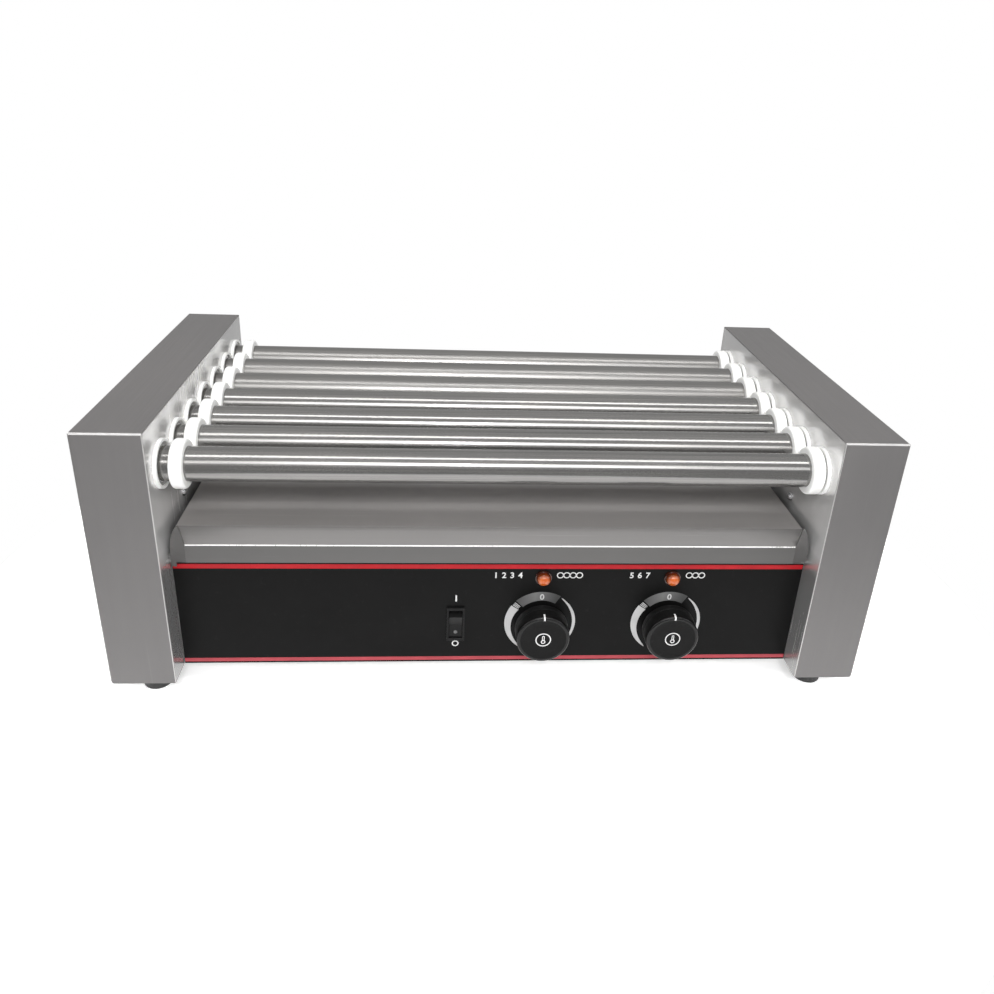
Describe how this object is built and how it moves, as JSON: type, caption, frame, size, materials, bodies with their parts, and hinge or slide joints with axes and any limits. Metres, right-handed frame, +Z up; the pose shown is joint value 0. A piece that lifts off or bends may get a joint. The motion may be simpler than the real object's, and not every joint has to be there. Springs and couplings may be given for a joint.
{
  "type": "hot dog roller grill",
  "caption": "Countertop roller grill: a row of heated turning tubes between two steel end housings, over a pull-out drip tray and a recessed control panel.",
  "frame": {"origin": "on the counter, under the middle of the machine", "axes": "+X along the rollers, to the right seen from the controls; +Y from the control side to the back; +Z up"},
  "size_m": [0.578, 0.286, 0.2225],
  "materials": {
    "brushed_housing": "brushed, vertical grain",
    "chassis_steel": "mill",
    "tray_steel": "brushed along the width",
    "roller_steel": "polished",
    "fastener_steel": "bright",
    "drive_steel": "oiled",
    "motor_casting": "cast",
    "element_sheath": "heat-stained",
    "white_plastic": "waxy",
    "ceramic": "unglazed",
    "overlay_film": "gloss print",
    "black_plastic": "satin",
    "amber_lens": "clear amber",
    "thermostat_case": "moulded",
    "foot_rubber": "matte",
    "wire_jacket": "silicone"
  },
  "bodies": {
    "frame": {"left_end_cover": "brushed_housing", "right_end_cover": "brushed_housing", "left_bearing_wall": "brushed_housing", "right_bearing_wall": "brushed_housing", "left_base_plate": "chassis_steel", "right_base_plate": "chassis_steel", "chassis_bottom": "chassis_steel", "front_panel": "chassis_steel", "rear_panel": "chassis_steel", "deck_plate": "chassis_steel", "panel_overlay": "overlay_film", "rubber_feet": "foot_rubber", "foot_fasteners": "fastener_steel", "cover_screws": "fastener_steel", "chassis_screws": "fastener_steel", "tray_guide_screws": "fastener_steel", "left_wall_bushes": "white_plastic", "right_wall_bushes": "white_plastic", "heating_elements": "element_sheath", "element_insulators": "ceramic", "left_element_bracket": "chassis_steel", "right_element_bracket": "chassis_steel", "drive_chain": "drive_steel", "chain_guide": "white_plastic", "gear_motor": "motor_casting", "front_thermostat": "thermostat_case", "rear_thermostat": "thermostat_case", "pilot_lamps": "amber_lens", "switch_housing": "black_plastic", "terminal_block": "ceramic", "cord_gland": "black_plastic", "wiring_loom": "wire_jacket"},
    "roller_1": {"roller_tube_1": "roller_steel", "roller_collars_1": "white_plastic", "roller_sprocket_1": "drive_steel"},
    "roller_2": {"roller_tube_2": "roller_steel", "roller_collars_2": "white_plastic", "roller_sprocket_2": "drive_steel"},
    "roller_3": {"roller_tube_3": "roller_steel", "roller_collars_3": "white_plastic", "roller_sprocket_3": "drive_steel"},
    "roller_4": {"roller_tube_4": "roller_steel", "roller_collars_4": "white_plastic", "roller_sprocket_4": "drive_steel"},
    "roller_5": {"roller_tube_5": "roller_steel", "roller_collars_5": "white_plastic", "roller_sprocket_5": "drive_steel"},
    "roller_6": {"roller_tube_6": "roller_steel", "roller_collars_6": "white_plastic", "roller_sprocket_6": "drive_steel"},
    "roller_7": {"roller_tube_7": "roller_steel", "roller_collars_7": "white_plastic", "roller_sprocket_7": "drive_steel"},
    "motor_output": {"motor_sprocket": "drive_steel"},
    "tray": {"drip_tray": "tray_steel"},
    "front_heat": {"front_knob": "black_plastic", "front_knob_shaft": "fastener_steel"},
    "rear_heat": {"rear_knob": "black_plastic", "rear_knob_shaft": "fastener_steel"},
    "rocker": {"switch_rocker": "black_plastic"}
  },
  "joints": [
    {"name": "roller_1_spin", "type": "hinge", "parent": "frame", "child": "roller_1", "pos_m": [0, -0.1143, 0.187], "axis": [1, 0, 0], "continuous": true, "deforming": ["drive_chain"]},
    {"name": "roller_2_spin", "type": "hinge", "parent": "frame", "child": "roller_2", "pos_m": [0, -0.0762, 0.187], "axis": [1, 0, 0], "continuous": true},
    {"name": "roller_3_spin", "type": "hinge", "parent": "frame", "child": "roller_3", "pos_m": [0, -0.0381, 0.187], "axis": [1, 0, 0], "continuous": true},
    {"name": "roller_4_spin", "type": "hinge", "parent": "frame", "child": "roller_4", "pos_m": [0, 0, 0.187], "axis": [1, 0, 0], "continuous": true},
    {"name": "roller_5_spin", "type": "hinge", "parent": "frame", "child": "roller_5", "pos_m": [0, 0.0381, 0.187], "axis": [1, 0, 0], "continuous": true},
    {"name": "roller_6_spin", "type": "hinge", "parent": "frame", "child": "roller_6", "pos_m": [0, 0.0762, 0.187], "axis": [1, 0, 0], "continuous": true},
    {"name": "roller_7_spin", "type": "hinge", "parent": "frame", "child": "roller_7", "pos_m": [0, 0.1143, 0.187], "axis": [1, 0, 0], "continuous": true},
    {"name": "motor_spin", "type": "hinge", "parent": "frame", "child": "motor_output", "pos_m": [0.256, 0, 0.07683], "axis": [1, 0, 0], "continuous": true},
    {"name": "tray_slide", "type": "slide", "parent": "frame", "child": "tray", "axis": [0, -1, 0], "range_m": [0, 0.26]},
    {"name": "front_heat_turn", "type": "hinge", "parent": "frame", "child": "front_heat", "pos_m": [0.0363, -0.1201, 0.0538], "axis": [0, 1, 0], "range_deg": [0, 290]},
    {"name": "rear_heat_turn", "type": "hinge", "parent": "frame", "child": "rear_heat", "pos_m": [0.1372, -0.1201, 0.0538], "axis": [0, 1, 0], "range_deg": [0, 290]},
    {"name": "switch_press", "type": "hinge", "parent": "frame", "child": "rocker", "pos_m": [-0.0304, -0.1141, 0.0532], "axis": [-1, 0, 0], "range_deg": [0, 22]}
  ],
  "couplings": [
    {"joint": "roller_2_spin", "follows": "roller_1_spin", "ratio": 1},
    {"joint": "roller_3_spin", "follows": "roller_1_spin", "ratio": 1},
    {"joint": "roller_4_spin", "follows": "roller_1_spin", "ratio": 1},
    {"joint": "roller_5_spin", "follows": "roller_1_spin", "ratio": 1},
    {"joint": "roller_6_spin", "follows": "roller_1_spin", "ratio": 1},
    {"joint": "roller_7_spin", "follows": "roller_1_spin", "ratio": 1},
    {"joint": "motor_spin", "follows": "roller_1_spin", "ratio": 1}
  ]
}
